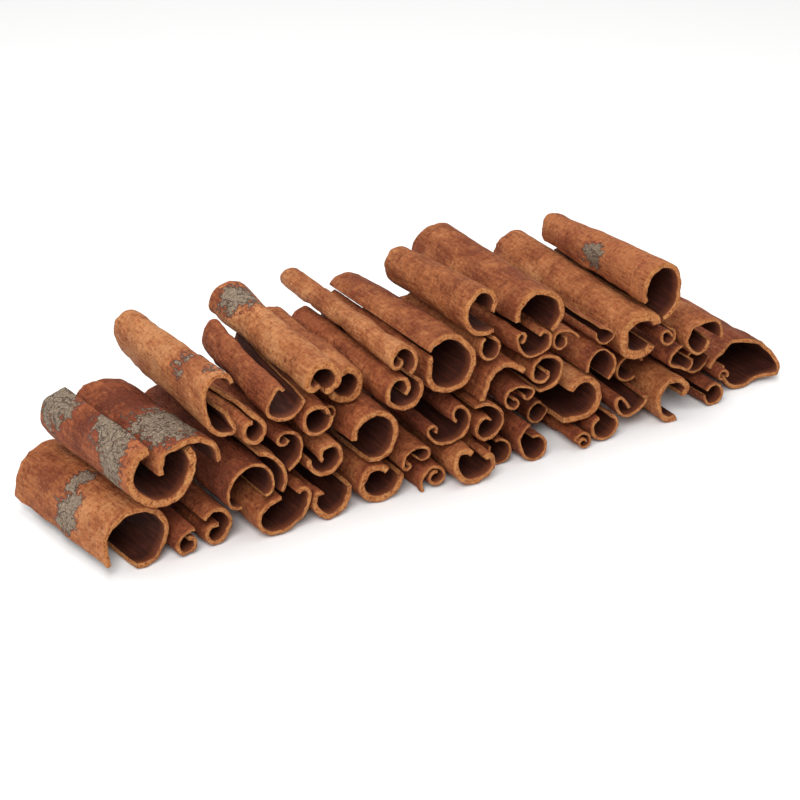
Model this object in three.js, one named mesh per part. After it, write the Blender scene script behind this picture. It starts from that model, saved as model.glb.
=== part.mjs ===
// A stack of cassia cinnamon quills, lying as one heap with their axes nearly parallel.
// Millimetres, +Z up. Quills run along +Y; the heap is longest along X and stands on Z = 0.
import * as THREE from 'three';

const CLEARANCE = 0.45; // air left between one quill and the next
const FACET_TURN = 30; // largest turn of the bark within one facet, degrees
const STATION_STEP = 4; // spacing of the cross planes used to rest one quill on another
const COLUMN_STEP = 0.25; // spacing across X inside one cross plane
const HEAP_HALF_WIDTH = 190;
const HEAP_FRONT = -24;
const HEAP_BACK = 132;

const BARKS = {
  tan: new THREE.MeshStandardMaterial({ name: 'tan bark', color: '#b5764a', roughness: 0.8 }),
  brown: new THREE.MeshStandardMaterial({ name: 'brown bark', color: '#9c5a36', roughness: 0.82 }),
  russet: new THREE.MeshStandardMaterial({ name: 'russet bark', color: '#8a4527', roughness: 0.84 }),
};

// One entry a quill, lowest first. Each is a strip of bark curled up across the grain:
// heading is the direction in which the strip sets off in the cross section, in degrees from +X,
// and curls lists its bends in turn as [radius, turn], a positive turn being anticlockwise.
// x is the middle of the front end, front its Y, yaw the swing of the axis from +Y towards +X.
// end is the size of the back end against the front end.
const QUILLS = [
  {
    name: 'base_01', bark: 'tan', x: -129, z: 'floor', front: 4, length: 70, yaw: -4,
    wall: 2.4, heading: -12, curls: [[11.4, 200], [13.5, 60], [24, 25]],
  },
  {
    name: 'base_02', bark: 'russet', x: -110.4, z: 'floor', front: 3, length: 78, yaw: -2,
    wall: 1.8, heading: 182, curls: [[9.5, 45], [4.6, 165], [3.4, 150]],
  },
  {
    name: 'base_03', bark: 'brown', x: -96.6, z: 'floor', front: 5, length: 82, yaw: 0,
    wall: 2, heading: 50, curls: [[6.9, -230], [4.4, -110], [3.4, -70], [20, -8]],
  },
  {
    name: 'base_04', bark: 'brown', x: -72.6, z: 'floor', front: -1, length: 84, yaw: 1,
    wall: 1.9, heading: 55, curls: [[3, -140], [12, -60], [14, -42], [8.6, -72], [5, -62], [14, -38]],
  },
  {
    name: 'base_05', bark: 'brown', x: -51.5, z: 'floor', front: 0, length: 80, yaw: 2,
    wall: 2.5, heading: 95, curls: [[1.8, 165], [11, 24], [7.6, 150], [11, 30]],
  },
  {
    name: 'base_06', bark: 'brown', x: -29.6, z: 'floor', front: 1, length: 82, yaw: 3,
    wall: 3, heading: -92, curls: [[9.2, -88], [7.8, -92], [6.6, -115], [4, -35]],
  },
  {
    name: 'base_07', bark: 'russet', x: -7.2, z: 'floor', front: 0, length: 79, yaw: 3,
    wall: 1.5, heading: 160, curls: [[3, 180], [3.9, 160], [5.4, 70], [6.4, 90]],
  },
  {
    name: 'base_08', bark: 'tan', x: 8.2, z: 'floor', front: -6, length: 84, yaw: 4,
    wall: 2.7, heading: 125, curls: [[3.4, 55], [5.2, 90], [9.6, 55], [9.6, 75], [6, 75], [3.2, 110]],
  },
  {
    name: 'base_09', bark: 'russet', x: 25.6, z: 'floor', front: 3, length: 76, yaw: 4,
    wall: 1.3, heading: 20, curls: [[5.4, -330]],
  },
  {
    name: 'base_10', bark: 'russet', x: 38.4, z: 'floor', front: -1, length: 82, yaw: 4,
    wall: 1.4, heading: 190, curls: [[6.5, 75], [9.8, 50], [6.6, 60], [5.2, 120], [6, 55]],
  },
  {
    name: 'base_11', bark: 'brown', x: 60.5, z: 'floor', front: -4, length: 80, yaw: 4,
    wall: 1.3, heading: 90, curls: [[2.1, 180], [2.9, 150], [3.9, 120], [4.4, 70]],
  },
  {
    name: 'base_12', bark: 'russet', x: 72.9, z: 'floor', front: -2, length: 78, yaw: 4,
    wall: 1.7, heading: 200, curls: [[5, 80], [6.4, 150], [5, 90]],
  },
  {
    name: 'base_14', bark: 'tan', x: 106.6, z: 'floor', front: -3, length: 84, yaw: 3,
    wall: 2.8, heading: 10, curls: [[3.4, 95], [6.6, 100], [10.2, 100], [6.4, 80]],
  },
  {
    name: 'base_13', bark: 'russet', x: 87.4, front: 0, length: 80, yaw: 4,
    wall: 1.5, heading: 30,
    curls: [[2, -140], [8, -50], [10, -30], [7, -60], [8, -20], [2.4, -140], [30, -12]],
  },
  {
    name: 'base_15', bark: 'russet', x: 131, z: 'floor', front: 1, length: 80, yaw: 3,
    wall: 1.4, heading: 60, curls: [[4.7, -335]],
  },
  {
    name: 'side_01', bark: 'russet', x: 136.9, front: 2, length: 78, yaw: 3,
    wall: 1.2, heading: 190, curls: [[2.3, -320]],
  },
  {
    name: 'base_16', bark: 'brown', x: 152.2, z: 'floor', front: 6, length: 88, yaw: 3,
    wall: 2.1, heading: 54,
    curls: [[11, -24], [30, -25], [24, -32], [18, -33], [80, -3], [3.4, -115], [60, 12],
      [14, -30], [8, -65], [30, -8]],
  },
  {
    name: 'mid_17', bark: 'russet', x: 127.8, front: 8, length: 76, yaw: 3,
    wall: 1.4, heading: 100, curls: [[3.8, 100], [10, 65], [3.8, 100], [10, 60]],
  },
  {
    name: 'mid_16', bark: 'russet', x: 112.2, front: 0, length: 80, yaw: 3,
    wall: 1.4, heading: 185, curls: [[7, 40], [5, 50], [2.6, 70], [20, -18], [2.4, 130], [5, 20]],
  },
  {
    name: 'mid_27', bark: 'tan', x: 124, front: 0, length: 78, yaw: 3,
    wall: 1.6, heading: -80,
    curls: [[5, -100], [6.6, -95], [7.1, -60], [18, -20], [7.3, -100], [11, -10]],
  },
  {
    name: 'mid_28', bark: 'russet', x: 93.5, front: 10, length: 70, yaw: 4,
    wall: 1.4, heading: 100, curls: [[4.6, 80], [9, 50], [4.6, 80], [7, 40], [4.6, 60]],
  },

  {
    name: 'mid_01', bark: 'brown', x: -119.9, front: 0, length: 71, yaw: -2,
    wall: 3.4, heading: -55, curls: [[10.8, -35], [12.4, -90], [13.4, -80], [10.2, -88]],
  },
  {
    name: 'mid_03', bark: 'russet', x: -85.3, front: 0, length: 82, yaw: 1,
    wall: 1.4, heading: 200,
    curls: [[4.2, -90], [9.4, -50], [12.4, -50], [7.8, -80], [8.4, -50], [3.6, -60]],
  },
  {
    name: 'mid_04', bark: 'tan', x: -75.5, front: 0, length: 80, yaw: 1,
    wall: 1.9, heading: -10, curls: [[15, -35], [10.4, -42], [14, -22], [8, -15]],
  },
  {
    name: 'mid_02', bark: 'brown', x: -109.1, z: 42.2, front: 0, length: 66, yaw: -2,
    wall: 2.4, heading: 95,
    curls: [[14, -22], [6, -38], [9, -25], [30, -20], [9, -60], [20, -15]], pitch: -0.5,
  },
  {
    name: 'mid_13', bark: 'russet', x: -67.6, z: 31.8, front: 2, length: 80, yaw: 2,
    wall: 1.5, heading: -100, curls: [[2.4, -175], [3.6, -85], [7.5, -95], [10.5, -62]], pitch: 0,
  },
  {
    name: 'mid_05', bark: 'brown', x: -54.4, z: 25.1, front: 0, length: 80, yaw: 2,
    wall: 2, heading: -95, curls: [[7.2, 95], [6.9, 100], [4.8, 130], [3.2, 90]],
  },
  {
    name: 'mid_07', bark: 'brown', x: -14.7, front: 0, length: 80, yaw: 3,
    wall: 1.3, heading: 30,
    curls: [[1.3, -180], [2.1, -120], [6, -60], [10, -35], [3.4, -185], [3, -50]],
  },
  {
    name: 'mid_06', bark: 'brown', x: -33, front: 0, length: 84, yaw: 3,
    wall: 2.6, heading: -15, curls: [[9.8, 20], [9.7, 225], [7, 20], [20, 10]],
  },
  {
    name: 'mid_08', bark: 'russet', x: -0.3, front: 0, length: 80, yaw: 4,
    wall: 1.6, heading: 45, curls: [[2.8, 235], [7, 30], [10.5, 50], [13, 30], [7.5, 110], [3.6, 190]],
  },
  {
    name: 'mid_09', bark: 'brown', x: 18.4, front: 0, length: 80, yaw: 4,
    wall: 1.6, heading: 15, curls: [[14, -30], [8, -85], [7.2, -90], [5, -100], [4.6, -120]],
  },
  {
    name: 'mid_10', bark: 'russet', x: 32.3, front: 0, length: 80, yaw: 4,
    wall: 1.3, heading: 10,
    curls: [[2.3, -190], [4.2, -95], [5.8, -85], [12, -35], [3, -190], [2.6, -60]],
  },
  {
    name: 'mid_11', bark: 'tan', x: 63, front: 0, length: 84, yaw: 4,
    wall: 3, heading: 65, curls: [[6.6, -45], [7.6, -60], [8.6, -80], [9, -60], [60, -8]],
  },
  {
    name: 'mid_29', bark: 'russet', x: 48.2, z: 14.5, front: 10, length: 72, yaw: 4,
    wall: 1.3, heading: 150, curls: [[4.6, 150], [4.8, 165]],
  },
  {
    name: 'mid_12', bark: 'brown', x: 45, front: 0, length: 80, yaw: 4,
    wall: 1.8, heading: -12,
    curls: [[11, 25], [7.5, 95], [7.4, 85], [6.3, 105], [4.2, 110], [2.4, 110]],
  },
  {
    name: 'mid_14', bark: 'brown', x: 24.5, front: 0, length: 80, yaw: 4,
    wall: 2.6, heading: 85, curls: [[26, -18], [9, -50], [11, -45], [14, -20]],
  },
  {
    name: 'mid_15', bark: 'brown', x: 71.4, front: 0, length: 80, yaw: 4,
    wall: 1.2, heading: 95, curls: [[9.8, -50], [5, -80], [9.8, -60], [5.4, -60]],
  },
  {
    name: 'mid_18', bark: 'brown', x: -57, front: 0, length: 80, yaw: 3,
    wall: 1.8, heading: 80, curls: [[3.6, 70], [5.9, 100], [6, 180], [5, 30]],
  },
  {
    name: 'mid_19', bark: 'brown', x: -20, front: 0, length: 80, yaw: 3,
    wall: 2.1, heading: 30, curls: [[3, 50], [8, 25], [3.6, 85], [6.6, 90], [7.4, 90], [8, 100]],
  },
  {
    name: 'mid_20', bark: 'brown', x: -83.4, z: 45.4, front: 0, length: 80, yaw: 1,
    wall: 2.1, heading: -45, curls: [[30, 8], [6, -50], [5, -80], [4.8, -90], [4.8, -100]], pitch: 0,
  },
  {
    name: 'mid_21', bark: 'brown', x: -70.6, z: 52.1, front: 0, length: 68, yaw: 8,
    wall: 1.7, heading: -100,
    curls: [[8.4, -70], [9, -50], [4.6, -70], [18, -22], [2.2, -120]], pitch: 0.5,
  },
  {
    name: 'mid_22', bark: 'tan', x: -38.6, front: 10, length: 68, yaw: 4,
    wall: 3, heading: 40, curls: [[6.8, -95], [6.6, -100], [7, -95]],
  },
  {
    name: 'mid_30', bark: 'russet', x: -45.9, z: 37, front: 12, length: 64, yaw: 3.5,
    wall: 1.2, heading: 60, curls: [[3.1, -330]],
  },
  {
    name: 'mid_23', bark: 'brown', x: 53.7, front: 0, length: 80, yaw: 4,
    wall: 1.3, heading: 125, curls: [[9, 40], [20, 10], [4, 100], [3.8, 90], [3.4, 110]],
  },
  {
    name: 'mid_24', bark: 'brown', x: 37, front: -2, length: 80, yaw: 4,
    wall: 1.5, heading: 0, curls: [[2.3, 265], [9, 45], [8.6, 60], [6.5, 100], [3, 130]],
  },
  {
    name: 'mid_25', bark: 'brown', x: 18.1, z: 52.5, front: 0, length: 60, yaw: 4,
    wall: 1.5, heading: 200, curls: [[4.8, 330]], pitch: -1.5,
  },

  {
    name: 'top_01', bark: 'tan', x: -96.9, z: 57.5, front: 0, length: 76, yaw: 1,
    wall: 2, heading: -55,
    curls: [[34, -12], [2.2, -110], [9, -65], [22, -35], [7.5, -65], [5.2, -85], [6, -15]], pitch: 0.2,
    end: 0.84,
  },
  {
    name: 'top_02', bark: 'tan', x: -55, front: 0, length: 82, yaw: 4,
    wall: 2.8, heading: 220,
    curls: [[5, -40], [3.5, -95], [7.4, -65], [6.8, -100], [5.4, -75], [6, -30]], end: 1.1,
  },
  {
    name: 'top_03', bark: 'tan', x: -20.7, front: 0, length: 100, yaw: 5,
    wall: 1.7, heading: -85, curls: [[3, -95], [3, -90], [5.4, -95], [6, -90], [6.6, -50]], end: 0.8,
  },
  {
    name: 'top_04', bark: 'tan', x: 0.5, z: 50.6, front: 0, length: 84, yaw: 4,
    wall: 2.8, heading: 180, pitch: -1.5, end: 0.86,
    curls: [[2.4, 75], [14, 25], [9, 60], [10.8, 90], [11.5, 60], [12, 62], [10, 42]],
  },
  {
    name: 'top_05', bark: 'tan', x: 13.6, z: 68.2, front: 0, length: 66, yaw: 4,
    wall: 2.3, heading: 50, curls: [[6, 50], [6.2, 120], [9.6, 60], [9, 70], [10, 30]],
    pitch: -2.5, end: 0.86,
  },
  {
    name: 'top_06', bark: 'tan', x: 40.5, front: 0, length: 83, yaw: 4,
    wall: 2.6, heading: 98, curls: [[10.2, -175], [10.5, -50], [14, -10]],
  },
  {
    name: 'top_07', bark: 'brown', x: 72.5, front: 0, length: 100, yaw: 5,
    wall: 1, heading: 240, curls: [[3.2, 60], [5, 60], [4.2, 70], [1.5, 70], [20, 20]],
  },
  {
    name: 'top_08', bark: 'tan', x: 90.5, front: 0, length: 104, yaw: 5,
    wall: 4.2, heading: 95, curls: [[4.8, 50], [8.2, 60], [10, 60], [9, 60], [8, 60], [6.8, 40]],
    end: 0.9,
  },
  {
    name: 'mid_26', bark: 'russet', x: 104.7, z: 36.6, front: 0, length: 80, yaw: 4,
    wall: 1.3, heading: 90, curls: [[2.7, 180], [3.5, 160], [4.8, 50]],
  },
  {
    name: 'top_09', bark: 'brown', x: 100.2, front: 0, length: 84, yaw: 5,
    wall: 2.3, heading: 15, curls: [[9, 45], [17, 42], [10, 40], [7.8, 110], [14, 36], [12, 8]],
    end: 0.74,
  },
];

const deg = THREE.MathUtils.degToRad;

// Walks along the curled strip and returns its middle line, with the heading at each point.
function walkStrip({ heading, curls }) {
  const line = [{ x: 0, z: 0, heading: deg(heading) }];
  for (const [radius, turn] of curls) {
    const pieces = Math.max(1, Math.ceil(Math.abs(turn) / FACET_TURN));
    for (let i = 0; i < pieces; i += 1) {
      const from = line[line.length - 1];
      const half = deg(turn / pieces) / 2;
      const chord = 2 * radius * Math.sin(Math.abs(half));
      line.push({
        x: from.x + chord * Math.cos(from.heading + half),
        z: from.z + chord * Math.sin(from.heading + half),
        heading: from.heading + 2 * half,
      });
    }
  }
  return line;
}

// Gives the strip its thickness and centres the section on its own bounding box.
function barkSection(quill) {
  const line = walkStrip(quill);
  const half = quill.wall / 2;
  const side = (p, d) => new THREE.Vector2(p.x - d * Math.sin(p.heading), p.z + d * Math.cos(p.heading));
  const outline = [...line.map((p) => side(p, half)), ...line.map((p) => side(p, -half)).reverse()];
  const middle = new THREE.Box2().setFromPoints(outline).getCenter(new THREE.Vector2());
  const centred = outline.map((p) => p.sub(middle));
  return THREE.ShapeUtils.isClockWise(centred) ? centred.reverse() : centred;
}

// The heap so far, as the height of its top in every column of every cross plane.
class HeapTop {
  constructor() {
    this.planes = [];
    for (let y = HEAP_FRONT; y <= HEAP_BACK; y += STATION_STEP) {
      this.planes.push({ y, top: new Float64Array(2 * HEAP_HALF_WIDTH / COLUMN_STEP) });
    }
  }

  column(x) {
    return Math.round((x + HEAP_HALF_WIDTH) / COLUMN_STEP);
  }

  planesUnder(quill, section) {
    const reach = Math.max(...section.map((p) => Math.abs(p.x))) * Math.sin(deg(Math.abs(quill.yaw)));
    const back = quill.front + quill.length;
    const margin = reach + STATION_STEP;
    return this.planes.filter(({ y }) => y >= quill.front - margin && y <= back + margin);
  }
}

// The section as it crosses one plane, moved to its place across the heap.
function sectionAt(quill, section, y) {
  const along = (y - quill.front) / quill.length;
  const size = 1 + ((quill.end ?? 1) - 1) * THREE.MathUtils.clamp(along, 0, 1);
  const x = quill.x + Math.tan(deg(quill.yaw)) * (y - quill.front);
  return section.map((p) => ({ x: x + p.x * size / Math.cos(deg(quill.yaw)), z: p.y * size }));
}

// Calls visit(column, z) along the outline, once for each column that each side crosses.
function alongOutline(heap, points, visit) {
  points.forEach((a, i) => {
    const b = points[(i + 1) % points.length];
    const [p, q] = a.x < b.x ? [a, b] : [b, a];
    for (let c = heap.column(p.x); c <= heap.column(q.x); c += 1) {
      const x = c * COLUMN_STEP - HEAP_HALF_WIDTH;
      const t = q.x - p.x < 1e-9 ? 0.5 : THREE.MathUtils.clamp((x - p.x) / (q.x - p.x), 0, 1);
      visit(c, p.z + t * (q.z - p.z));
      if (q.x - p.x < COLUMN_STEP) {
        visit(c, p.z);
        visit(c, q.z);
      }
    }
  });
}

// Height that the quill's axis needs in each plane it crosses, to clear what is already there.
function heightsNeeded(heap, quill, section) {
  return heap.planesUnder(quill, section).map(({ y, top }) => {
    let height = -Infinity;
    alongOutline(heap, sectionAt(quill, section, y), (c, z) => {
      height = Math.max(height, top[c] - z);
    });
    return { y, height };
  });
}

// Rests a straight axis on the needed heights: it touches at two planes, one either side of its middle.
function restAxis(quill, needed) {
  const middle = quill.front + quill.length / 2;
  let best = null;
  for (const a of needed.filter((n) => n.y <= middle)) {
    for (const b of needed.filter((n) => n.y > middle)) {
      const slope = (b.height - a.height) / (b.y - a.y);
      const atMiddle = a.height + slope * (middle - a.y);
      if (best === null || atMiddle > best.atMiddle) {
        best = { atMiddle, slope };
      }
    }
  }
  return { z: best.atMiddle + best.slope * (quill.front - middle), slope: best.slope };
}

// A quill on the floor, one tucked in at a given height, or one dropped on what lies under it.
function restOf(heap, quill, section) {
  if (quill.z === 'floor') {
    return { z: -Math.min(...section.map((p) => p.y)), slope: 0 };
  }
  if (quill.z !== undefined) {
    return { z: quill.z, slope: Math.tan(deg(quill.pitch ?? 0)) };
  }
  return restAxis(quill, heightsNeeded(heap, quill, section));
}

function stampQuill(heap, quill, section, rest) {
  const spread = Math.ceil(CLEARANCE / COLUMN_STEP);
  for (const { y, top } of heap.planesUnder(quill, section)) {
    const lift = rest.z + rest.slope * (y - quill.front);
    alongOutline(heap, sectionAt(quill, section, y), (c, z) => {
      for (let d = -spread; d <= spread; d += 1) {
        top[c + d] = Math.max(top[c + d], z + lift + CLEARANCE);
      }
    });
  }
}

// A straight prism of the section, narrowing evenly to its back end.
function quillGeometry(quill, section) {
  const shape = new THREE.Shape(section);
  const geometry = new THREE.ExtrudeGeometry(shape, { depth: quill.length, bevelEnabled: false });
  geometry.translate(0, 0, -quill.length);
  geometry.rotateX(Math.PI / 2);
  const position = geometry.attributes.position;
  for (let i = 0; i < position.count; i += 1) {
    const size = 1 + ((quill.end ?? 1) - 1) * position.getY(i) / quill.length;
    position.setX(i, position.getX(i) * size);
    position.setZ(i, position.getZ(i) * size);
  }
  return geometry;
}

function layQuill(heap, quill) {
  const section = barkSection(quill);
  const rest = restOf(heap, quill, section);
  stampQuill(heap, quill, section, rest);
  const mesh = new THREE.Mesh(quillGeometry(quill, section), BARKS[quill.bark]);
  mesh.name = quill.name;
  mesh.position.set(quill.x, quill.front, rest.z);
  mesh.rotation.set(Math.atan(rest.slope), 0, -deg(quill.yaw), 'ZXY');
  return mesh;
}

// Moves the heap so that the middle of its footprint is the origin.
function centreFootprint(meshes) {
  const box = new THREE.Box3();
  meshes.forEach((mesh) => box.expandByObject(mesh, true));
  const middle = box.getCenter(new THREE.Vector3());
  meshes.forEach((mesh) => mesh.position.sub(new THREE.Vector3(middle.x, middle.y, box.min.z)));
}

const group = new THREE.Group();
const heap = new HeapTop();
for (const quill of QUILLS) {
  group.add(layQuill(heap, quill));
}
centreFootprint(group.children);

export default group;
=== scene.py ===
import math
import bmesh
import bpy
import numpy as np
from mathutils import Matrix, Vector


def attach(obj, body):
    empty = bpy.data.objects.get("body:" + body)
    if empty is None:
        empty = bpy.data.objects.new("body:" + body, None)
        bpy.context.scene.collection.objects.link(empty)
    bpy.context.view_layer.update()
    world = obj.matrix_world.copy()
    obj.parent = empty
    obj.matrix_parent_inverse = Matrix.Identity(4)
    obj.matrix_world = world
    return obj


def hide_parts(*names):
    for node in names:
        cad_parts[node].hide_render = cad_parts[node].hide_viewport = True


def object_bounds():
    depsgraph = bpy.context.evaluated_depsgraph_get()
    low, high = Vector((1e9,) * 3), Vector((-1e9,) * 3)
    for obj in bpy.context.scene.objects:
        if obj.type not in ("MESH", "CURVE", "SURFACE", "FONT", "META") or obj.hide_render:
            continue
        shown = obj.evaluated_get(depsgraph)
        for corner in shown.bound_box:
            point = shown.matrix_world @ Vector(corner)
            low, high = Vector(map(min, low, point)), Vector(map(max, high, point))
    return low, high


# A stack of cassia cinnamon quills. Every quill is a strip of bark swept along its curl,
# read back from the outline of its CAD node, then given its warp, torn rims and bark finish.

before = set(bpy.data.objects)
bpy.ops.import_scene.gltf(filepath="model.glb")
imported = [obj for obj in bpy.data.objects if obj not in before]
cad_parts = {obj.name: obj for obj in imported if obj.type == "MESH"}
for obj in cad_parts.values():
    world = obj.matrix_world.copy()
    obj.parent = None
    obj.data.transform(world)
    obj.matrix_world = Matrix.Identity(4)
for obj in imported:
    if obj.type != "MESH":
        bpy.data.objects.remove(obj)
cadBox = [list(corner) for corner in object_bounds()]
cadLow, cadHigh = (np.array(corner) * 1000 for corner in cadBox)
print("frame loaded:", len(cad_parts), "quills")


def linearColour(hexCode):
    parts = [int(hexCode[i:i + 2], 16) / 255 for i in (1, 3, 5)]
    return [p / 12.92 if p <= 0.04045 else ((p + 0.055) / 1.055) ** 2.4 for p in parts] + [1]


def addNode(tree, kind, inputs=None, take=0, stops=(), **settings):
    node = tree.nodes.new(kind)
    for title, value in settings.items():
        setattr(node, title, value)
    for number, (position, hexCode) in enumerate(stops):  # colours of a ramp
        elements = node.color_ramp.elements
        element = elements[number] if number < 2 else elements.new(position)
        element.position = position
        element.color = linearColour(hexCode)
    for socket, value in (inputs or {}).items():
        if isinstance(value, bpy.types.NodeSocket):
            tree.links.new(value, node.inputs[socket])
        elif isinstance(value, str) and value.startswith("#"):
            node.inputs[socket].default_value = linearColour(value)
        else:
            node.inputs[socket].default_value = value
    return node if take is None else node.outputs[take]


# the strip of bark behind each CAD node, all in millimetres
weave = dict(
    across=1.2,   # between mesh lines across the strip
    along=1.9,    # between mesh lines along the quill
    nearRim=(0, 0.45, 1.0, 1.8, 2.9, 4.3),  # closer lines at each rim, counted from its rounding
    rounding=0.55, roundingShare=0.3,       # of a rim: the most, and the share of a thin wall
    tearReach=32,  # a torn end's set back fades out over this length
)


def capOutline(shape, isFront):
    middle = sum(v.co.y for v in shape.verts) / len(shape.verts)
    cap = {f for f in shape.faces
           if abs(f.normal.y) > 0.9 and (f.calc_center_median().y < middle) == isFront}
    ring = [e for e in shape.edges if sum(f in cap for f in e.link_faces) == 1]
    nextTo = {}
    for e in ring:
        a, b = e.verts
        nextTo.setdefault(a, []).append(b)
        nextTo.setdefault(b, []).append(a)
    start = ring[0].verts[0]
    outline, came, here = [start], None, start
    while True:
        ahead = [v for v in nextTo[here] if v is not came][0]
        if ahead is start:
            return np.array([v.co for v in outline]) * 1000
        outline.append(ahead)
        came, here = here, ahead


def readOutlines(node):
    shape = bmesh.new()
    shape.from_mesh(node.data)
    bmesh.ops.remove_doubles(shape, verts=shape.verts, dist=0.00002)
    shape.normal_update()
    front, back = capOutline(shape, True), capOutline(shape, False)
    shape.free()
    return front, back


def pairSides(outline):
    # the two faces of the strip, corner against corner: all pairs are one wall apart
    count, half = len(outline), len(outline) // 2
    best = None
    for start in range(half):
        a = np.array([outline[(start - k) % count] for k in range(half)])
        b = np.array([outline[(start + 1 + k) % count] for k in range(half)])
        gap = np.linalg.norm(a - b, axis=1)
        if best is None or gap.std() < best[0]:
            best = (gap.std(), a, b)
    return best[1], best[2]


def unit(vectors):
    return vectors / np.linalg.norm(vectors, axis=-1, keepdims=True)


def curlLine(sideA, sideB, axis, spacing, edge):
    # smooth middle line of the curl at even steps, with its outward direction
    middle = (sideA + sideB) / 2
    tangent = unit(np.cross(axis, sideA - sideB))
    if np.dot(tangent[0], middle[1] - middle[0]) < 0:
        tangent = -tangent
    u = np.linspace(0, 1, 16, endpoint=False)[:, None]
    points = []
    for m0, m1, t0, t1 in zip(middle, middle[1:], tangent, tangent[1:]):
        pull = np.linalg.norm(m1 - m0) * 1.012
        points.append((2 * u**3 - 3 * u**2 + 1) * m0 + (u**3 - 2 * u**2 + u) * t0 * pull
                      + (3 * u**2 - 2 * u**3) * m1 + (u**3 - u**2) * t1 * pull)
    line = np.vstack(points + [middle[-1:]])
    run = np.concatenate([[0], np.cumsum(np.linalg.norm(np.diff(line, axis=0), axis=1))])
    total = run[-1]
    inner = np.linspace(edge, total - edge, max(6, round(total / spacing)))
    where = np.concatenate([[0], inner, [total]])
    smooth = np.stack([np.interp(where, run, line[:, i]) for i in range(3)], axis=1)
    along = unit(np.gradient(smooth, where, axis=0))
    turn = np.dot(np.cross(tangent[:-1], tangent[1:]), axis).sum()
    outward = unit(np.cross(along, axis)) * np.sign(turn)
    return where, smooth, outward, along


def lengthSteps(length, edge):
    near = [0] + [edge + step for step in weave["nearRim"]]
    count = max(4, round((length - 2 * near[-1]) / weave["along"]))
    inner = np.linspace(near[-1], length - near[-1], count)
    return np.concatenate([near, inner[1:-1], length - np.array(near[::-1])])


def boxFaces(counts):
    # quads over the six sides of a lattice, with each quad's side: 0 outer, 1 inner, 2 cut
    ns, nv, nt = counts
    index = -np.ones((ns, nv, nt), int)
    shell = np.ones((ns, nv, nt), bool)
    shell[1:-1, 1:-1, 1:-1] = False
    index[shell] = np.arange(shell.sum())
    quads, sides = [], []

    def sheet(grid, side, flip):
        a, b, c, d = grid[:-1, :-1], grid[1:, :-1], grid[1:, 1:], grid[:-1, 1:]
        four = np.stack([a, d, c, b] if flip else [a, b, c, d], axis=-1).reshape(-1, 4)
        quads.append(four)
        sides.append(np.full(len(four), side))

    sheet(index[:, :, -1], 0, False)
    sheet(index[:, :, 0], 1, True)
    sheet(index[:, 0, :], 2, False)
    sheet(index[:, -1, :], 2, True)
    sheet(index[0], 2, False)
    sheet(index[-1], 2, True)
    return shell, np.vstack(quads), np.concatenate(sides)


def spotMask(s, v, spots):
    # soft round fields, each (place along the strip, place along the quill, size, size, strength)
    field = np.zeros(np.broadcast(s, v).shape)
    for s0, v0, ds, dv, strength in spots:
        near = 1 - np.sqrt(((s - s0) / ds) ** 2 + ((v - v0) / dv) ** 2)
        field = np.maximum(field, strength * np.clip(near, 0, 1))
    return field


def sheetLattice(name, settings):
    front, back = readOutlines(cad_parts[name])
    shrink = (np.linalg.norm(back - back.mean(0), axis=1).mean()
              / np.linalg.norm(front - front.mean(0), axis=1).mean())
    reach = back.mean(0) - front.mean(0)
    sideA, sideB = pairSides(front)
    wall = np.linalg.norm(sideA - sideB, axis=1).mean()
    axis = unit(np.cross(front[1] - front[0], front[len(front) // 2] - front[0]))
    axis = axis * np.sign(axis[1])
    edge = min(weave["roundingShare"] * wall, weave["rounding"])
    where, middle, outward, along = curlLine(sideA, sideB, axis, weave["across"], edge)
    length = float(np.dot(reach, axis))
    v = lengthSteps(length, edge)
    t = np.array([-1, -1 + 2 * edge / wall, -0.3, 0.3, 1 - 2 * edge / wall, 1]) * wall / 2

    gridS, gridV, gridT = (g.astype(float) for g in np.meshgrid(where, v, t, indexing="ij"))
    # corners of the lattice drawn in a little, so that every rim is rounded
    endS = (np.isin(np.arange(len(where)), [0, len(where) - 1]))[:, None, None]
    endV = (np.isin(np.arange(len(v)), [0, len(v) - 1]))[None, :, None]
    endT = (np.isin(np.arange(len(t)), [0, len(t) - 1]))[None, None, :]
    drawIn = 0.3 * edge
    edges = (endS.astype(int) + endV + endT) > 1
    sheetS = gridS + np.where(edges & endS, drawIn * np.sign(where.mean() - gridS), 0)
    sheetV = gridV + np.where(edges & endV, drawIn * np.sign(length / 2 - gridV), 0)
    sheetT = gridT - np.where(edges & endT, drawIn * np.sign(gridT), 0)

    # torn ends: how far each place of the strip stops short of the CAD quill's ends
    part = where / where[-1]
    for key, isFront in (("mouth", True), ("tail", False)):
        if settings.get(key):
            stops = np.array(settings[key])
            setBack = np.interp(part, stops[:, 0], stops[:, 1])[:, None, None]
            fromEnd = sheetV if isFront else length - sheetV
            weight = np.clip(1 - fromEnd / weave["tearReach"], 0, 1) ** 1.5
            sheetV = sheetV + (1 if isFront else -1) * setBack * weight

    share = (sheetV / length)[..., None]
    size = 1 + (shrink - 1) * share
    centre = front.mean(0)
    base = centre + (middle[:, None, None] + along[:, None, None]
                     * (sheetS - gridS)[..., None] - centre) * size
    place = base + outward[:, None, None] * sheetT[..., None] * size + reach * share
    return dict(place=place, s=sheetS, v=sheetV, t=sheetT / (wall / 2), wall=wall,
                length=length, stripLength=float(where[-1]), axis=axis,
                outward=np.broadcast_to(outward[:, None, None], place.shape))


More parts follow.
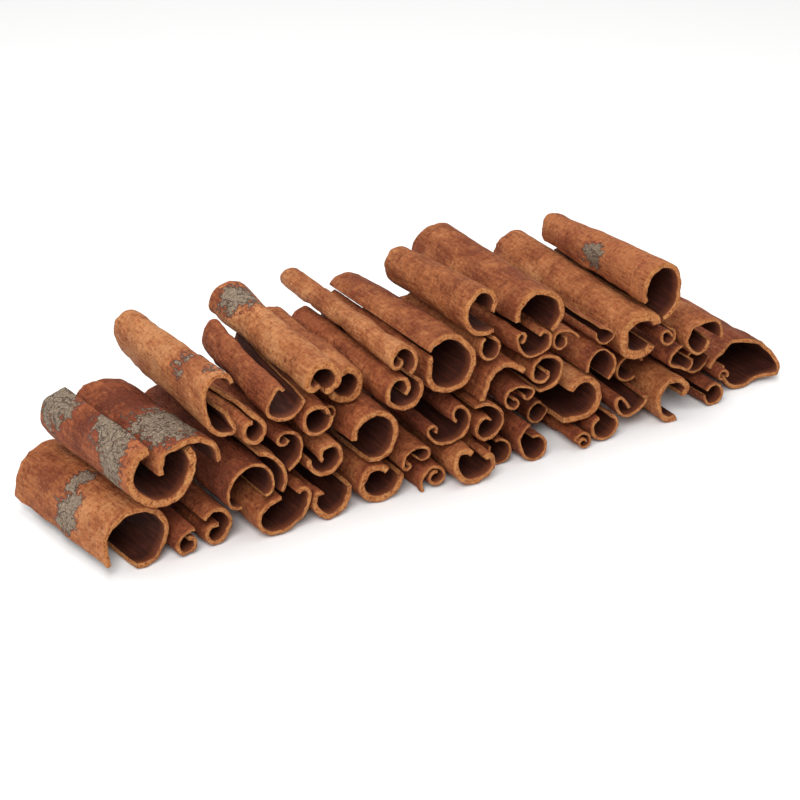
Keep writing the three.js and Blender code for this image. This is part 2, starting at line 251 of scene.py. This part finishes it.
def meshFromLattice(name, number, lattice, settings):
    counts = lattice["s"].shape
    shell, quads, sides = boxFaces(counts)
    points = lattice["place"][shell]
    # the sides of the lattice face outwards whichever way the strip curls
    handed = np.dot(np.cross(lattice["place"][2, 5, -1] - lattice["place"][1, 5, -1],
                             lattice["place"][1, 6, -1] - lattice["place"][1, 5, -1]),
                    lattice["outward"][1, 5, -1])
    if handed < 0:
        quads = quads[:, ::-1]
    mesh = bpy.data.meshes.new(name)
    mesh.from_pydata((points / 1000).tolist(), [], quads.tolist())

    def store(title, kind, domain, values):
        layer = mesh.attributes.new(title, kind, domain)
        key = {"FLOAT": "value", "INT": "value", "FLOAT_VECTOR": "vector"}[kind]
        layer.data.foreach_set(key, np.ascontiguousarray(values).ravel())

    s, v, t = (lattice[k][shell] for k in "svt")
    length, total = lattice["length"], lattice["stripLength"]
    store("sheet", "FLOAT_VECTOR", "POINT", np.stack([s, v, t], axis=1))
    shift = np.array([37.0 * number, 53.0 * number, 0.0])  # so that no two quills share a pattern
    store("pattern", "FLOAT_VECTOR", "POINT", np.stack([s, v, t], axis=1) + shift)
    store("outward", "FLOAT_VECTOR", "POINT", lattice["outward"][shell])
    store("lengthwise", "FLOAT_VECTOR", "POINT", np.tile(lattice["axis"], (len(s), 1)))
    store("toRim", "FLOAT", "POINT", np.minimum(v, length - v))
    store("rimSide", "FLOAT", "POINT", np.where(v < length / 2, 1.0, -1.0))
    store("cork", "FLOAT", "POINT", spotMask(s / total, v / length, settings.get("cork", [])))
    store("ruddy", "FLOAT", "POINT", spotMask(s / total, v / length, settings.get("ruddy", [])))
    store("tone", "FLOAT", "POINT", np.full(len(s), settings.get("tone", 0.0)))
    store("side", "INT", "FACE", sides)
    uv = mesh.uv_layers.new(name="bark")
    corners = np.empty(len(mesh.loops), int)
    mesh.loops.foreach_get("vertex_index", corners)
    flat = np.stack([(s + t * lattice["wall"] / 2) / 1000, v / 1000], axis=1)
    uv.data.foreach_set("uv", flat[corners].ravel())
    return bpy.data.objects.new(name, mesh)


# warp of the whole sheet, lengthwise ridges, dents and nibbled rims. Every depth in mm goes
# inwards or back from the rim, so a quill never grows out of its own outline.
relief = dict(
    warp=1.5, warpSize=15.0,     # the sheet wanders in and out, humps this far apart
    ridge=0.3, ridgeSize=2.6,    # lengthwise ridges of the outer bark
    dent=0.7, dentSize=6.5,      # shallow dents of the outer bark
    chip=1.5, chipSize=11.0, chipReach=9.0,          # slow wander of the cut rims
    nibble=0.75, nibbleSize=1.7, nibbleReach=1.6,    # crumbled bites out of the rims
)
fullWall = 2.2  # thinner walls than this get less warp and smaller bites


def makeReliefTree():
    tree = bpy.data.node_groups.new("bark relief", "GeometryNodeTree")
    face = tree.interface
    face.new_socket("Geometry", in_out="INPUT", socket_type="NodeSocketGeometry")
    for title in ["Seed"] + list(relief):
        face.new_socket(title, in_out="INPUT", socket_type="NodeSocketFloat")
    for title in ("Outer Bark", "Inner Bark", "Cut Rim"):
        face.new_socket(title, in_out="INPUT", socket_type="NodeSocketMaterial")
    face.new_socket("Geometry", in_out="OUTPUT", socket_type="NodeSocketGeometry")
    given = addNode(tree, "NodeGroupInput", take=None).outputs

    kinds = {"sheet": "FLOAT_VECTOR", "outward": "FLOAT_VECTOR", "lengthwise": "FLOAT_VECTOR",
             "toRim": "FLOAT", "rimSide": "FLOAT", "side": "INT"}
    stored = {}
    for title, kind in kinds.items():
        stored[title] = addNode(tree, "GeometryNodeInputNamedAttribute", {"Name": title}, data_type=kind)

    # depth of each kind of relief in mm: its noise stretched across, along and through the sheet,
    # and the part of the noise between two levels that counts
    depth = {}
    for number, (title, stretch, low, high) in enumerate((
            ("warp", (1.0, 0.6, 0.0), 0.36, 0.74),
            ("ridge", (1.0, 0.12, 0.0), 0.35, 0.68),
            ("dent", (1.0, 0.6, 0.0), 0.54, 0.76),
            ("chip", (1.0, 0.0, 1.4), 0.34, 0.68),
            ("nibble", (1.0, 0.0, 0.8), 0.46, 0.68))):
        place = addNode(tree, "ShaderNodeVectorMath", {0: stored["sheet"], 1: stretch},
                        operation="MULTIPLY")
        shift = addNode(tree, "ShaderNodeMath", {0: given["Seed"], 1: 11.0 * number}, operation="ADD")
        scale = addNode(tree, "ShaderNodeMath", {0: 1.0, 1: given[title + "Size"]}, operation="DIVIDE")
        wander = addNode(tree, "ShaderNodeTexNoise",
                         {"Vector": place, "W": shift, "Scale": scale, "Detail": 2.0},
                         noise_dimensions="4D")
        depth[title] = addNode(tree, "ShaderNodeMapRange", {"Value": wander, "From Min": low,
                                                            "From Max": high, "To Max": given[title]})

    # warp moves both faces of the wall, ridges and dents only the outer one
    through = addNode(tree, "ShaderNodeSeparateXYZ", {0: stored["sheet"]}, take=2)
    outer = addNode(tree, "ShaderNodeMath", {0: through, 1: 0.0}, operation="MAXIMUM")
    skin = addNode(tree, "ShaderNodeMath", {0: depth["ridge"], 1: depth["dent"]}, operation="ADD")
    inwards = addNode(tree, "ShaderNodeMath", {0: skin, 1: outer, 2: depth["warp"]},
                      operation="MULTIPLY_ADD")
    sink = addNode(tree, "ShaderNodeMath", {0: inwards, 1: -0.001}, operation="MULTIPLY")
    push = addNode(tree, "ShaderNodeVectorMath", {0: stored["outward"], "Scale": sink}, operation="SCALE")
    # rims, in metres from here: wander and bites each fade out over their own reach
    nearRim = addNode(tree, "ShaderNodeMapRange",
                      {"Value": stored["toRim"], "From Max": given["chipReach"],
                       "To Min": 0.001, "To Max": 0.0})
    atRim = addNode(tree, "ShaderNodeMapRange",
                    {"Value": stored["toRim"], "From Max": given["nibbleReach"],
                     "To Min": 0.001, "To Max": 0.0})
    chips = addNode(tree, "ShaderNodeMath", {0: depth["chip"], 1: nearRim}, operation="MULTIPLY")
    back = addNode(tree, "ShaderNodeMath", {0: depth["nibble"], 1: atRim, 2: chips},
                   operation="MULTIPLY_ADD")
    signed = addNode(tree, "ShaderNodeMath", {0: back, 1: stored["rimSide"]}, operation="MULTIPLY")
    pull = addNode(tree, "ShaderNodeVectorMath", {0: stored["lengthwise"], "Scale": signed},
                   operation="SCALE")
    offset = addNode(tree, "ShaderNodeVectorMath", {0: push, 1: pull}, operation="ADD")

    moved = addNode(tree, "GeometryNodeSetPosition", {"Geometry": given["Geometry"], "Offset": offset})
    shown = addNode(tree, "GeometryNodeRealizeInstances", {"Geometry": moved})
    for number, title in enumerate(("Outer Bark", "Inner Bark", "Cut Rim")):
        chosen = addNode(tree, "FunctionNodeCompare", {2: stored["side"], 3: number}, data_type="INT",
                         operation="EQUAL")
        shown = addNode(tree, "GeometryNodeSetMaterial", {"Geometry": shown, "Selection": chosen,
                                                          "Material": given[title]})
    addNode(tree, "NodeGroupOutput", {0: shown}, take=None)
    return tree


# Cassia bark, scraped by hand and sun dried: the outer face is dull tan to red brown with soft
# clouds, dark flecks and pits, grey cork is left in patches, and the cut rims are paler and crumbly.
barkColours = {
    "tan": dict(pale="#c18252", body="#a86439", deep="#7c3c1f", cork="#82705e"),
    "brown": dict(pale="#b26c40", body="#96502d", deep="#692e18", cork="#7b6a59"),
    "russet": dict(pale="#985131", body="#7c3c22", deep="#582513", cork="#6f5e4f"),
}
# mouth: painted light on the inner face near the rim, where light reaches into the bore
insideColours = dict(pale="#532718", body="#3f1b10", deep="#30130b", mouth="#87492b")
rimColours = dict(pale="#c28852", body="#aa6636", deep="#71381c", pit="#38150a")
speckColours = dict(pit="#4a2212", grain="#d29c6c")
corkColours = dict(dark="#6a5546", light="#ab9a84", crack="#43261a", margin="#853f2a")

# patterns: mm across the strip, mm along the quill, detail, roughness
outerPatterns = dict(
    cloud=(12.0, 15.0, 3.0, 0.6),
    streak=(1.3, 9.0, 3.0, 0.6),
    ripple=(7.0, 1.1, 3.0, 0.65),
    fleck=(1.5, 2.4, 3.0, 0.65),
    crack=(4.4, 6.5, 2.0, 0.5),  # its middle level is drawn as the winding cracks of the cork
    grain=(0.85, 1.1, 3.0, 0.7),  # bark dust is finer, and drawn this coarse to show
)
innerPatterns = dict(streak=(1.6, 14.0, 3.0, 0.6), fibre=(0.5, 3.2, 2.0, 0.6))
rimPatterns = dict(layer=(2.6, 2.0, 3.0, 0.6), crumb=(0.6, 0.6, 3.0, 0.7))


def startMaterial(title):
    material = bpy.data.materials.new(title)
    material.use_nodes = True
    material.node_tree.nodes.clear()
    return material, material.node_tree


def layPatterns(tree, patterns, through):
    # noise fields laid out in sheet millimetres, through: patterns per half wall
    place = addNode(tree, "ShaderNodeAttribute", take="Vector", attribute_name="pattern")
    made = {}
    for title, (across, along, detail, roughness) in patterns.items():
        scaled = addNode(tree, "ShaderNodeMapping",
                         {"Vector": place, "Scale": (1 / across, 1 / along, through)})
        made[title] = addNode(tree, "ShaderNodeTexNoise",
                              {"Vector": scaled, "Scale": 1.0, "Detail": detail, "Roughness": roughness})
    return made


def closeMaterial(tree, colour, roughness, height, bumpDepth):
    bump = addNode(tree, "ShaderNodeBump",
                   {"Height": height, "Strength": 1.0, "Distance": bumpDepth / 1000})
    shader = addNode(tree, "ShaderNodeBsdfPrincipled",
                     {"Base Color": colour, "Roughness": roughness, "Normal": bump,
                      "Specular IOR Level": 0.25})
    addNode(tree, "ShaderNodeOutputMaterial", {"Surface": shader}, take=None)


def makeOuterBark(kind, colours):
    # dull and soft: rough clouds of tan and red brown, dark flecks and pits, fine lines across
    material, tree = startMaterial(f"cassia outer bark, scraped and dried, {kind}")
    stored = {}
    for title in ("tone", "cork", "ruddy", "toRim"):
        stored[title] = addNode(tree, "ShaderNodeAttribute", take="Fac", attribute_name=title)
    fields = layPatterns(tree, outerPatterns, 0.0)

    # place on the ramp: clouds and streaks about the quill's own tone
    place = addNode(tree, "ShaderNodeMath", {0: stored["tone"], 1: 0.13}, operation="MULTIPLY")
    for field, weight in (("cloud", 0.6), ("streak", 0.3), ("fleck", 0.35)):
        place = addNode(tree, "ShaderNodeMath", {0: fields[field], 1: weight, 2: place},
                        operation="MULTIPLY_ADD")
    place = addNode(tree, "ShaderNodeMath", {0: stored["ruddy"], 1: 0.18, 2: place},
                    operation="MULTIPLY_ADD")
    colour = addNode(tree, "ShaderNodeValToRGB", {"Fac": place},
                     stops=[(0.51, colours["pale"]), (0.63, colours["body"]), (0.8, colours["deep"])])
    # dark flecks, near black pits and pale specks of grain
    for field, low, high, strength, tint in (("fleck", 0.56, 0.68, 0.65, colours["deep"]),
                                             ("grain", 0.62, 0.74, 0.75, speckColours["pit"]),
                                             ("grain", 0.4, 0.28, 0.5, speckColours["grain"])):
        share = addNode(tree, "ShaderNodeMapRange",
                        {"Value": fields[field], "From Min": low, "From Max": high, "To Max": strength})
        colour = addNode(tree, "ShaderNodeMix", {0: share, 6: colour, 7: tint}, take=2, data_type="RGBA")
    lines = addNode(tree, "ShaderNodeMapRange", {"Value": fields["ripple"], "From Min": 0.3,
                                                 "From Max": 0.7, "To Min": 0.78, "To Max": 1.17})
    colour = addNode(tree, "ShaderNodeVectorMath", {0: colour, "Scale": lines}, operation="SCALE")

    # grey cork with a broken edge and a red margin, cracked along and across
    torn = addNode(tree, "ShaderNodeMath", {0: fields["fleck"], 1: fields["crack"]}, operation="ADD")
    ragged = addNode(tree, "ShaderNodeMath", {0: torn, 1: 1.3, 2: -1.3}, operation="MULTIPLY_ADD")
    ragged = addNode(tree, "ShaderNodeMath", {0: stored["cork"], 1: ragged}, operation="ADD")
    present = addNode(tree, "ShaderNodeMapRange",
                      {"Value": stored["cork"], "From Min": 0.02, "From Max": 0.12})
    masks = {}
    for title, low, high in (("margin", 0.1, 0.26), ("grey", 0.3, 0.4)):
        edge = addNode(tree, "ShaderNodeMapRange", {"Value": ragged, "From Min": low, "From Max": high})
        masks[title] = addNode(tree, "ShaderNodeMath", {0: edge, 1: present}, operation="MULTIPLY")
    ruddy = addNode(tree, "ShaderNodeMath", {0: masks["margin"], 1: 0.7}, operation="MULTIPLY")
    colour = addNode(tree, "ShaderNodeMix", {0: ruddy, 6: colour, 7: corkColours["margin"]}, take=2,
                     data_type="RGBA")
    middle = addNode(tree, "ShaderNodeMath", {0: fields["crack"], 1: 0.5}, operation="SUBTRACT")
    middle = addNode(tree, "ShaderNodeMath", {0: middle}, operation="ABSOLUTE")
    crack = addNode(tree, "ShaderNodeMapRange", {"Value": middle, "From Min": 0.02, "From Max": 0.003,
                                                 "To Min": 0.0, "To Max": 0.55})
    corkColour = addNode(tree, "ShaderNodeValToRGB", {"Fac": fields["grain"]},
                         stops=[(0.32, corkColours["dark"]), (0.47, colours["cork"]),
                                (0.72, corkColours["light"])])
    corkColour = addNode(tree, "ShaderNodeMix", {0: crack, 6: corkColour, 7: corkColours["crack"]}, take=2,
                         data_type="RGBA")
    colour = addNode(tree, "ShaderNodeMix", {0: masks["grey"], 6: colour, 7: corkColour}, take=2,
                     data_type="RGBA")
    # rims worn paler over the last millimetre
    worn = addNode(tree, "ShaderNodeMapRange", {"Value": stored["toRim"], "From Min": 1.4, "From Max": 0.2,
                                                "To Min": 0.0, "To Max": 0.45})
    colour = addNode(tree, "ShaderNodeMix", {0: worn, 6: colour, 7: rimColours["body"]}, take=2,
                     data_type="RGBA")

    # height of the skin: fine fields, cork standing proud, cracks cut into it
    height = addNode(tree, "ShaderNodeMath", {0: fields["streak"], 1: 0.5}, operation="MULTIPLY")
    for field, weight in (("fleck", -0.8), ("ripple", 0.35), ("grain", -0.45)):
        height = addNode(tree, "ShaderNodeMath", {0: fields[field], 1: weight, 2: height},
                         operation="MULTIPLY_ADD")
    broken = addNode(tree, "ShaderNodeMath", {0: crack, 1: -1.3, 2: fields["grain"]},
                     operation="MULTIPLY_ADD")
    proud = addNode(tree, "ShaderNodeMath", {0: broken, 1: 0.7}, operation="ADD")
    height = addNode(tree, "ShaderNodeMath", {0: masks["grey"], 1: proud, 2: height},
                     operation="MULTIPLY_ADD")
    rough = addNode(tree, "ShaderNodeMapRange", {"Value": fields["streak"], "From Min": 0.3,
                                                 "From Max": 0.7, "To Min": 0.66, "To Max": 0.84})
    closeMaterial(tree, colour, rough, height, 1.3)
    return material


def makeInnerBark():
    # the inner face dries darker and smoother; paler towards the mouth is painted light where light reaches
    # into the bore, darker deeper in is painted shade
    material, tree = startMaterial("cassia inner bark, dried")
    toRim = addNode(tree, "ShaderNodeAttribute", take="Fac", attribute_name="toRim")
    fields = layPatterns(tree, innerPatterns, 0.0)
    colour = addNode(tree, "ShaderNodeValToRGB", {"Fac": fields["streak"]},
                     stops=[(0.3, insideColours["pale"]), (0.5, insideColours["body"]),
                            (0.72, insideColours["deep"])])
    # painted light at the mouth: the inner colour turns paler over the last 5 mm before the rim, leaving
    # the bore darker as painted shade
    mouth = addNode(tree, "ShaderNodeMapRange", {"Value": toRim, "From Min": 5.0, "From Max": 0.3,
                                                 "To Min": 0.0, "To Max": 0.6})
    colour = addNode(tree, "ShaderNodeMix", {0: mouth, 6: colour, 7: insideColours["mouth"]}, take=2,
                     data_type="RGBA")
    height = addNode(tree, "ShaderNodeMath", {0: fields["fibre"], 1: 0.5, 2: fields["streak"]},
                     operation="MULTIPLY_ADD")
    rough = addNode(tree, "ShaderNodeMapRange", {"Value": fields["streak"], "From Min": 0.3,
                                                 "From Max": 0.7, "To Min": 0.62, "To Max": 0.8})
    closeMaterial(tree, colour, rough, height, 0.35)
    return material


def makeCutRim():
    # knife cut across the bark: pale crumbly core with dark pits, darker lines along both faces
    material, tree = startMaterial("cassia bark end, knife cut")
    fields = layPatterns(tree, rimPatterns, 1.3)
    mixed = addNode(tree, "ShaderNodeMath", {0: fields["layer"], 1: fields["crumb"]}, operation="ADD")
    mixed = addNode(tree, "ShaderNodeMath", {0: mixed, 1: 0.5}, operation="MULTIPLY")
    colour = addNode(tree, "ShaderNodeValToRGB", {"Fac": mixed},
                     stops=[(0.38, rimColours["deep"]), (0.47, rimColours["body"]),
                            (0.6, rimColours["pale"])])
    place = addNode(tree, "ShaderNodeAttribute", take="Vector", attribute_name="sheet")
    through = addNode(tree, "ShaderNodeSeparateXYZ", {0: place}, take=2)
    across = addNode(tree, "ShaderNodeMath", {0: through}, operation="ABSOLUTE")
    nearFace = addNode(tree, "ShaderNodeMapRange", {"Value": across, "From Min": 0.66, "From Max": 1.0,
                                                    "To Min": 0.0, "To Max": 0.55})
    colour = addNode(tree, "ShaderNodeMix", {0: nearFace, 6: colour, 7: rimColours["deep"]}, take=2,
                     data_type="RGBA")
    pits = addNode(tree, "ShaderNodeMapRange", {"Value": fields["crumb"], "From Min": 0.39,
                                                "From Max": 0.29, "To Min": 0.0, "To Max": 0.85})
    colour = addNode(tree, "ShaderNodeMix", {0: pits, 6: colour, 7: rimColours["pit"]}, take=2,
                     data_type="RGBA")
    rough = addNode(tree, "ShaderNodeMapRange", {"Value": fields["crumb"], "From Min": 0.3,
                                                 "From Max": 0.7, "To Min": 0.75, "To Max": 0.92})
    closeMaterial(tree, colour, rough, fields["crumb"], 0.9)
    return material


outerBarks = {kind: makeOuterBark(kind, colours) for kind, colours in barkColours.items()}
innerBark = makeInnerBark()
cutRim = makeCutRim()
print("bark finishes made")

# tone: lighter below 0, darker above. cork and ruddy: patches as (place along the strip,
# place along the quill from its front, size, size, strength), places and sizes as shares.
# mouth and tail: how far, in mm, the front or back rim stops short at places along the strip.

quills = {
    "base_01": dict(bark="tan", tone=-0.1,
                    mouth=[(0, 0), (0.05, 3.5), (0.13, 5.5), (0.25, 3), (0.4, 1), (1, 0)],
                    cork=[(0.14, 0.44, 0.2, 0.15, 1.0), (0.34, 0.5, 0.18, 0.08, 0.9)],
                    ruddy=[(0.2, 0.75, 0.4, 0.35, 0.9)]),
    "base_02": dict(bark="russet", tone=0.0),
    "base_03": dict(bark="brown", tone=0.2),
    "base_04": dict(bark="brown", tone=-0.2),
    "base_05": dict(bark="brown", tone=0.2),
    "base_06": dict(bark="brown", tone=0.0),
    "base_07": dict(bark="russet", tone=-0.3),
    "base_08": dict(bark="tan", tone=0.5),
    "base_09": dict(bark="russet", tone=0.0),
    "base_10": dict(bark="russet", tone=-0.2),
    "base_11": dict(bark="brown", tone=0.3),
    "base_12": dict(bark="russet", tone=0.0),
    "base_13": dict(bark="russet", tone=-0.3),
    "base_14": dict(bark="tan", tone=0.3),
    "base_15": dict(bark="russet", tone=0.1),
    "base_16": dict(bark="brown", tone=0.2, ruddy=[(0.5, 0.1, 0.6, 0.3, 0.8)],
                    mouth=[(0, 0), (0.1, 2), (0.2, 6), (0.3, 3), (0.42, 7), (0.5, 4), (0.6, 0), (0.7, 3),
                           (0.8, 1), (1, 4)]),
    "side_01": dict(bark="russet", tone=0.2),
    "mid_01": dict(bark="brown", tone=-0.3, tail=[(0, 7), (0.07, 4), (0.16, 1), (0.3, 0), (1, 0)],
                   cork=[(0.22, 0.18, 0.28, 0.15, 1.0), (0.04, 0.28, 0.2, 0.26, 1.0),
                         (0.08, 0.86, 0.3, 0.24, 1.0)],
                   ruddy=[(0.1, 0.5, 0.5, 0.5, 1.0)]),
    "mid_02": dict(bark="brown", tone=0.2,
                   cork=[(0.5, 0.26, 0.45, 0.34, 1.0)],
                   ruddy=[(0.5, 0.6, 0.8, 0.6, 1.0)]),
    "mid_03": dict(bark="russet", tone=0.1),
    "mid_04": dict(bark="tan", tone=0.4),
    "mid_05": dict(bark="brown", tone=-0.3),
    "mid_06": dict(bark="brown", tone=0.2),
    "mid_07": dict(bark="brown", tone=-0.1),
    "mid_08": dict(bark="russet", tone=0.0),
    "mid_09": dict(bark="brown", tone=0.1),
    "mid_10": dict(bark="russet", tone=-0.2),
    "mid_11": dict(bark="tan", tone=0.0),
    "mid_12": dict(bark="brown", tone=0.1),
    "mid_13": dict(bark="russet", tone=0.0),
    "mid_14": dict(bark="brown", tone=-0.1),
    "mid_15": dict(bark="brown", tone=0.3),
    "mid_16": dict(bark="russet", tone=0.2),
    "mid_17": dict(bark="russet", tone=0.1),
    "mid_18": dict(bark="brown", tone=-0.1),
    "mid_19": dict(bark="brown", tone=0.2),
    "mid_20": dict(bark="brown", tone=0.0),
    "mid_21": dict(bark="brown", tone=0.1),
    "mid_22": dict(bark="tan", tone=0.3,
                   cork=[(0.9, 0.93, 0.2, 0.14, 1.0)]),
    "mid_23": dict(bark="brown", tone=-0.2),
    "mid_24": dict(bark="brown", tone=0.0),
    "mid_25": dict(bark="brown", tone=-0.3),
    "mid_26": dict(bark="russet", tone=0.1),
    "mid_27": dict(bark="tan", tone=0.3),
    "mid_28": dict(bark="russet", tone=0.2),
    "mid_29": dict(bark="russet", tone=0.2),
    "mid_30": dict(bark="russet", tone=0.1),
    "top_01": dict(bark="tan", tone=-0.5,
                   cork=[(0.76, 0.3, 0.16, 0.09, 0.55), (0.87, 0.07, 0.1, 0.08, 0.5)],
                   ruddy=[(0.72, 0.28, 0.35, 0.22, 0.9)]),
    "top_02": dict(bark="tan", tone=-0.3,
                   cork=[(0.44, 0.84, 0.24, 0.2, 0.9)],
                   ruddy=[(0.4, 0.9, 0.4, 0.25, 0.6)]),
    "top_03": dict(bark="tan", tone=-0.2),
    "top_04": dict(bark="tan", tone=0.9),
    "top_05": dict(bark="tan", tone=0.4),
    "top_06": dict(bark="tan", tone=0.8),
    "top_07": dict(bark="brown", tone=0.0),
    "top_08": dict(bark="tan", tone=0.3,
                   mouth=[(0, 0), (0.3, 0), (0.42, 2.5), (0.55, 0.5), (0.7, 3), (0.85, 1), (1, 2)]),
    "top_09": dict(bark="brown", tone=-0.7,
                   cork=[(0.83, 0.5, 0.16, 0.12, 0.95)],
                   ruddy=[(0.8, 0.7, 0.5, 0.5, 0.3)]),
}

reliefTree = makeReliefTree()
sockets = {item.name: item.identifier for item in reliefTree.interface.items_tree if item.in_out == "INPUT"}


def finishQuill(name, number, settings):
    lattice = sheetLattice(name, settings)
    rough = meshFromLattice(f"rough_{name}", number, lattice, settings)
    bpy.context.scene.collection.objects.link(rough)
    modifier = rough.modifiers.new("relief", "NODES")
    modifier.node_group = reliefTree
    thin = min(1.0, lattice["wall"] / fullWall)
    amounts = dict(relief, Seed=7.3 * number + 1)
    amounts.update({"Outer Bark": outerBarks[settings["bark"]], "Inner Bark": innerBark, "Cut Rim": cutRim})
    amounts["warp"] = relief["warp"] * (0.5 + 0.5 * thin)
    amounts["nibble"] = relief["nibble"] * thin
    for title, value in amounts.items():
        modifier[sockets[title]] = value
    seen = rough.evaluated_get(bpy.context.evaluated_depsgraph_get())
    mesh = bpy.data.meshes.new_from_object(seen)
    bpy.data.objects.remove(rough)
    points = np.empty(len(mesh.vertices) * 3)
    mesh.vertices.foreach_get("co", points)
    points = np.clip(points.reshape(-1, 3), cadLow / 1000, cadHigh / 1000)
    mesh.vertices.foreach_set("co", points.ravel())
    mesh.polygons.foreach_set("use_smooth", [True] * len(mesh.polygons))
    mesh.update()
    quill = bpy.data.objects.new(f"quill_{name}", mesh)
    bpy.context.scene.collection.objects.link(quill)
    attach(quill, "root")
    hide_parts(name)
    return quill


pieces = [finishQuill(name, number, settings) for number, (name, settings) in enumerate(quills.items())]
faces = sum(len(p.data.polygons) for p in pieces)
print("quills made:", len(pieces), "with", 2 * faces, "triangles")


# studio: places and sizes in metres, power in watts
studio = dict(floor="#f7f7f6", floorHalf=4, skyColour="#f7f7f8", skyStrength=0.5)
lights = dict(
    key=dict(place=(-0.75, -0.85, 1.0), size=0.9, power=19.0),
    fill=dict(place=(0.9, -0.9, 0.7), size=1.1, power=2.0),
    top=dict(place=(0.1, 0.3, 1.3), size=1.2, power=8.0),
)
# camera at the front left, turned and tilted in degrees, aimed at shares of the half box and height
view = dict(swing=32.6, drop=25, distance=0.84, aim=(-0.1436, -0.4843, 0.38), lens=99.14, sensor=36)

half = (cadHigh - cadLow) / 2000
height = cadHigh[2] / 1000


def makeFloor():
    mesh = bpy.data.meshes.new("floor")
    reach = studio["floorHalf"]
    corners = [(-reach, -reach, 0), (reach, -reach, 0), (reach, reach, 0), (-reach, reach, 0)]
    mesh.from_pydata(corners, [], [(0, 1, 2, 3)])
    floor = bpy.data.objects.new("floor", mesh)
    bpy.context.scene.collection.objects.link(floor)
    material, tree = startMaterial("studio paper, matt")
    shader = addNode(tree, "ShaderNodeBsdfPrincipled", {"Base Color": studio["floor"], "Roughness": 0.9})
    addNode(tree, "ShaderNodeOutputMaterial", {"Surface": shader}, take=None)
    mesh.materials.append(material)


def makeLight(title, place, size, power):
    light = bpy.data.lights.new(title, "AREA")
    light.shape = "DISK"
    light.size = size
    light.energy = power
    lamp = bpy.data.objects.new(title, light)
    lamp.location = place
    lamp.rotation_euler = (Vector((0, 0, height / 2)) - Vector(place)).to_track_quat("-Z", "Y").to_euler()
    bpy.context.scene.collection.objects.link(lamp)


def makeSky():
    world = bpy.data.worlds.new("studio")
    world.use_nodes = True
    background = world.node_tree.nodes["Background"]
    background.inputs["Color"].default_value = linearColour(studio["skyColour"])
    background.inputs["Strength"].default_value = studio["skyStrength"]
    bpy.context.scene.world = world


def makeCamera():
    swing, drop = math.radians(view["swing"]), math.radians(view["drop"])
    aim = Vector([share * size for share, size in zip(view["aim"], (half[0], half[1], height))])
    ahead = Vector((math.sin(swing) * math.cos(drop), math.cos(swing) * math.cos(drop), -math.sin(drop)))
    lens = bpy.data.cameras.new("camera")
    lens.lens = view["lens"]
    lens.sensor_width = view["sensor"]
    camera = bpy.data.objects.new("camera", lens)
    camera.location = aim - ahead * view["distance"]
    camera.rotation_euler = ahead.to_track_quat("-Z", "Y").to_euler()
    bpy.context.scene.collection.objects.link(camera)
    bpy.context.scene.camera = camera


makeFloor()
for title, light in lights.items():
    makeLight(title, **light)
makeSky()
bpy.context.scene.view_settings.view_transform = "Standard"  # so that a hex colour shows as itself
makeCamera()
print("studio made")
